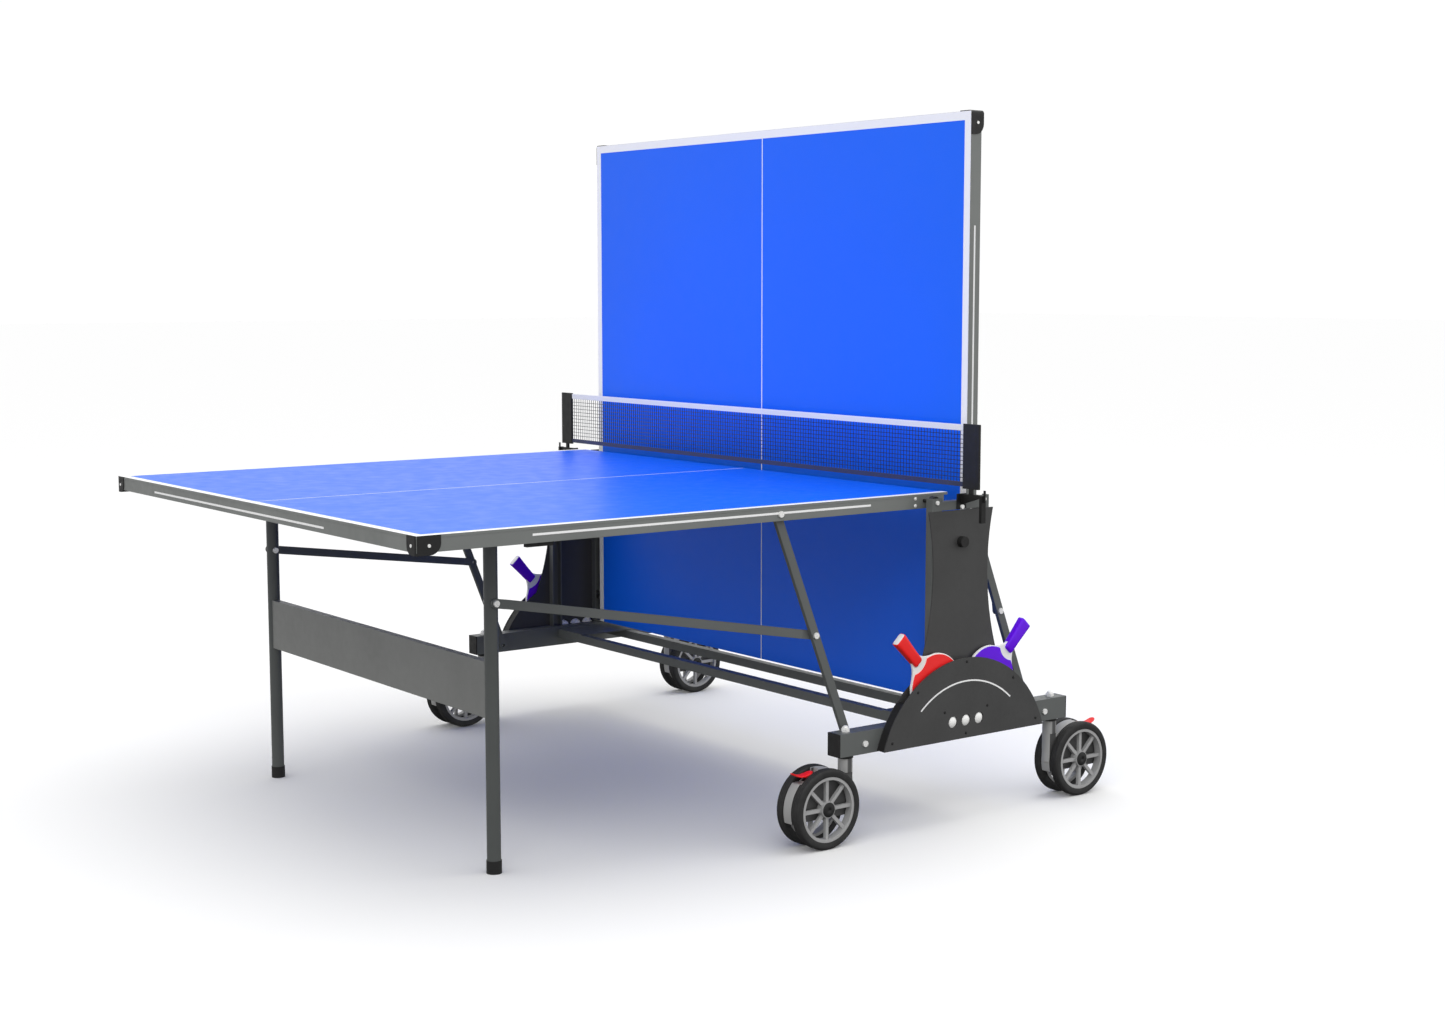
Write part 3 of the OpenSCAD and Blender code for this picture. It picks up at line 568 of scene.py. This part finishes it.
def rubber_outline():
    """Rubber that stops short of the rim and curves round the neck."""
    radius = BLADE_R - RUBBER_INSET
    centre = RUBBER_END_CENTRE
    reach = centre - RUBBER_END
    b = (radius ** 2 - reach ** 2 + centre ** 2) / (2 * centre)
    turn = math.degrees(math.acos(b / radius))
    start = 180 - math.degrees(math.acos((centre - b) / reach))
    return (arc((0, 0), radius, turn, 360 - turn, 72)
            + arc((0, centre), reach, 360 - start, start, 16)[1:-1])


def make_racket(name, place, turn, shell, sheet_material):
    """place is the blade's centre, turn the direction of the handle in the X-Z plane."""
    body = f"{name}_body"
    across = Vector((turn.z, 0, -turn.x))

    def put(a, b, h):
        return place + across * a + turn * b + Vector((0, h, 0))

    def add_handle(bm, sections):
        add_skin(bm, [[put(a, b * MM, h) for a, h in superellipse(w * MM, t * MM, 0.4, 0.4, 32)]
                      for b, w, t in sections])

    bm = bmesh.new()
    add_prism(bm, blade_outline(), -BLADE_HALF_T, BLADE_HALF_T, put)
    blade = bevel(piece(f"{name}_blade", bm, WHITE_PLASTIC, body), 0.9 * MM, 3)
    bm = bmesh.new()
    for low, high in ((BLADE_HALF_T, RUBBER_OUT), (-RUBBER_OUT, -BLADE_HALF_T)):
        add_prism(bm, rubber_outline(), low, high, put)
    bevel(piece(f"{name}_rubbers", bm, sheet_material, body), 0.5 * MM)
    bm = bmesh.new()
    add_handle(bm, HANDLE)
    piece(f"{name}_handle", bm, shell, body, smooth=True)
    bm = bmesh.new()
    add_handle(bm, END_CAP)
    piece(f"{name}_end_cap", bm, WHITE_PLASTIC, body, smooth=True)
    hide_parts(name)


for side_name, side in SIDES:
    for end_name, end in (("left", -1), ("right", 1)):
        name = f"racket_{side_name}_{end_name}"
        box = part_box(name)
        place = Vector((NET_X + end * RACKET_X, (box[0].y + box[1].y) / 2, RACKET_Z))
        turn = Vector((end * math.cos(RACKET_SLOPE), 0, math.sin(RACKET_SLOPE)))
        if side * end > 0:
            make_racket(name, place, turn, RED, RED_RUBBER)
        else:
            make_racket(name, place, turn, PURPLE, PURPLE_RUBBER)


# ---------------------------------------------------------------- casters
TYRE_W = 22 * MM
TYRE_HALF = TYRE_W / 2
TYRE_T = 17 * MM
SHOULDER_R = 6 * MM
GROOVE = 1 * MM
# Profile as (radius, height)
HUB_CAP = [(0.5 * MM, TYRE_HALF + 1.9 * MM), (9 * MM, TYRE_HALF + 1.6 * MM),
           (14 * MM, TYRE_HALF + 0.6 * MM), (16.5 * MM, TYRE_HALF - 0.6 * MM),
           (16.5 * MM, TYRE_HALF - 3 * MM), (0.5 * MM, TYRE_HALF - 3 * MM)]


def tread_profile(wheel_r):
    """Tyre section with round shoulders and two grooves."""
    shoulder = [(wheel_r - SHOULDER_R + SHOULDER_R * math.sin(t),
                 TYRE_HALF - SHOULDER_R + SHOULDER_R * math.cos(t))
                for t in (math.pi / 2 * k / 6 for k in range(7))]
    groove = [(wheel_r, 3.4 * MM), (wheel_r - GROOVE, 2.9 * MM), (wheel_r - GROOVE, 1.9 * MM),
              (wheel_r, 1.4 * MM)]
    inner = [(wheel_r - TYRE_T, TYRE_HALF - 0.6 * MM), (wheel_r - 16 * MM, TYRE_HALF)]
    upper = inner + shoulder + groove
    return upper + [(r, -h) for r, h in reversed(upper)]


for where, _ in CASTERS:
    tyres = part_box(f"tyres_{where}")
    middle = (tyres[0] + tyres[1]) / 2
    wheel_r = (tyres[1].z - tyres[0].z) / 2
    pitch = tyres[1].y - tyres[0].y - TYRE_W
    body = f"caster_wheels_{where}"
    rubber_mesh = bmesh.new()
    cap_mesh = bmesh.new()
    for out in (-1, 1):
        def put(a, b, h, out=out):
            return middle + Vector((a, out * (pitch / 2 + h), b))

        add_lathe(rubber_mesh, tread_profile(wheel_r), put, 96)
        add_lathe(cap_mesh, HUB_CAP, put, 48)
    tread = piece(f"tread_{where}", rubber_mesh, TYRE, body, smooth=True)
    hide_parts(f"tyres_{where}")
    piece(f"hub_caps_{where}", cap_mesh, BLACK, body, smooth=True)


# ---------------------------------------------------------------- brake pedals
# Sections of the pad in mm, from its root to its tip: reach, height, half width, half thickness
PAD = ((3, 19.5, 6, 2.4), (8, 18, 9.6, 3.2), (16, 15.4, 11.4, 3.4), (28, 13.6, 11.8, 3.1),
       (40, 14.8, 11.6, 2.7), (50, 18.6, 10.4, 2.3), (56, 21.8, 7.8, 1.8), (58.6, 23.4, 3.4, 0.9))
# Outline of the arm as (reach, height) in mm: a boss round the pin, then the arm's end
BOSS_R = 6.4
BOSS = [(BOSS_R * math.cos(t), BOSS_R * math.sin(t))
        for t in (math.pi / 12 * k for k in range(10, 25))]
ARM = BOSS + [(18, 11.5), (7, 17)]
PIN_END = 3 * MM  # length of the pin that shows beyond the arm

for where, end in CASTERS:
    pivot = next(Vector(j["pos_m"]) for j in frame["joints"] if j["name"] == f"brake_{where}")
    body = f"caster_pedal_{where}"

    def put(reach, height, y):
        return pivot + Vector((end * reach * MM, y, height * MM))

    bm = bmesh.new()
    add_skin(bm, [[put(reach, height + z, y * MM) for y, z in superellipse(w, t, 0.7, 0.8, 24)]
                  for reach, height, w, t in PAD])
    pad = piece(f"pedal_pad_{where}", bm, RED, body, smooth=True)
    arm_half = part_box(f"pedal_{where}")[1].y - pivot.y - PIN_END
    bm = bmesh.new()
    add_prism(bm, ARM, -arm_half, arm_half, put)
    bevel(piece(f"pedal_arm_{where}", bm, RED, body), 0.8 * MM)
    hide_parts(f"pedal_{where}")


# ---------------------------------------------------------------- holder line and screws
LINE_TURN = 42
LINE_STEPS = 48
LINE_CENTRE_Z = 121.7 * MM
LINE_RADII = (208 * MM, 211.5 * MM)
HOLDER_LINE_PROUD = 0.3 * MM
# Screws' places in mm: distance from the net's plane, height
SCREWS = ((0, 376), (-67, 266), (67, 266), (0, 210), (-150, 322), (150, 322), (-226, 216),
          (226, 216))
SCREW_HEAD = [(0.3 * MM, 1.5 * MM), (2.2 * MM, 1.3 * MM), (3.4 * MM, 0.4 * MM), (3.4 * MM, 0),
              (0.3 * MM, 0)]
holder_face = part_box("holder_panels")[1].y

for side_name, side in SIDES:
    face = side * holder_face
    turns = [math.radians(-LINE_TURN + 2 * LINE_TURN * k / LINE_STEPS)
             for k in range(LINE_STEPS + 1)]
    inner, outer = [[(NET_X + r * math.sin(t), LINE_CENTRE_Z + r * math.cos(t)) for t in turns]
                    for r in LINE_RADII]
    bm = bmesh.new()
    rings = [[bm.verts.new((x, y, z)) for x, z in inner + outer[::-1]]
             for y in (face, face + side * HOLDER_LINE_PROUD)]
    join_rings(bm, rings)
    for ring in rings:
        for k in range(LINE_STEPS):
            bm.faces.new((ring[k], ring[k + 1], ring[-2 - k], ring[-1 - k]))
    piece(f"holder_line_{side_name}", bm, WHITE_PAINT, "chassis")
    bm = bmesh.new()
    for x, z in SCREWS:
        add_lathe(bm, SCREW_HEAD, lambda a, b, h, x=x, z=z:
                  Vector((NET_X + x * MM + a, face + side * h, z * MM + b)), 20)
    piece(f"holder_screws_{side_name}", bm, BLACK, "chassis", smooth=True)


# ---------------------------------------------------------------- floor, light and camera
FLOOR_REACH = 60
SKY_LIGHT = 1.02
GROUND_LIGHT = 0.1
HORIZON = (-0.3, -0.06)  # heights between which the light falls off downwards
# Name, place, target, size, watts
LIGHTS = (
    ("key", (-3.5, -4.5, 4.6), (0, 0, 0.6), (3.5, 2.5), 60),
    ("fill", (4.5, -3.5, 2.6), (0, 0, 0.7), (3, 3), 20),
    ("top", (0, 0, 5.5), (0, 0, 0), (5, 4), 45),
)
CAMERA = Vector((NET_X - 3.2049, -4.1395, 1.2324))
CAMERA_AZIMUTH = math.radians(37.139)
CAMERA_DOWN = math.radians(6.5125)
CAMERA_SENSOR = 36
CAMERA_LENS = 50.586
CAMERA_CLIP = 200

bm = bmesh.new()
bmesh.ops.create_grid(bm, x_segments=1, y_segments=1, size=FLOOR_REACH)
floor_mesh = bpy.data.meshes.new("floor")
bm.to_mesh(floor_mesh)
bm.free()
floor_shader = Shader("floor_pale", Base_Color=(0.97, 0.97, 0.97, 1), Roughness=1.0,
                      Specular_IOR_Level=0.0)
floor_mesh.materials.append(floor_shader.material)
floor = bpy.data.objects.new("floor", floor_mesh)
bpy.context.scene.collection.objects.link(floor)
floor.visible_diffuse = False
floor.visible_glossy = False

# White studio whose lower half is dim, so that undersides are shaded
world = bpy.data.worlds.new("studio")
world.use_nodes = True
tree = world.node_tree
direction = tree.nodes.new("ShaderNodeTexCoord").outputs["Generated"]
height = tree.nodes.new("ShaderNodeSeparateXYZ")
tree.links.new(direction, height.inputs[0])
strength = tree.nodes.new("ShaderNodeMapRange")
for index, number in enumerate((*HORIZON, GROUND_LIGHT, SKY_LIGHT)):
    strength.inputs[index + 1].default_value = number
tree.links.new(height.outputs["Z"], strength.inputs[0])
tree.links.new(strength.outputs[0], tree.nodes["Background"].inputs[1])
tree.nodes["Background"].inputs[0].default_value = (1, 1, 1, 1)
bpy.context.scene.world = world
bpy.context.scene.view_settings.view_transform = "Standard"

for name, place, target, size, watts in LIGHTS:
    light = bpy.data.lights.new(name, "AREA")
    light.shape = "RECTANGLE"
    light.size, light.size_y = size
    light.energy = watts
    lamp = bpy.data.objects.new(name, light)
    lamp.location = place
    lamp.rotation_euler = (Vector(target) - Vector(place)).to_track_quat("-Z", "Y").to_euler()
    bpy.context.scene.collection.objects.link(lamp)

camera_data = bpy.data.cameras.new("camera")
camera_data.sensor_width = CAMERA_SENSOR
camera_data.lens = CAMERA_LENS
camera_data.clip_end = CAMERA_CLIP
camera = bpy.data.objects.new("camera", camera_data)
camera.location = CAMERA
camera.rotation_euler = (math.pi / 2 - CAMERA_DOWN, 0, -CAMERA_AZIMUTH)
bpy.context.scene.collection.objects.link(camera)
bpy.context.scene.camera = camera
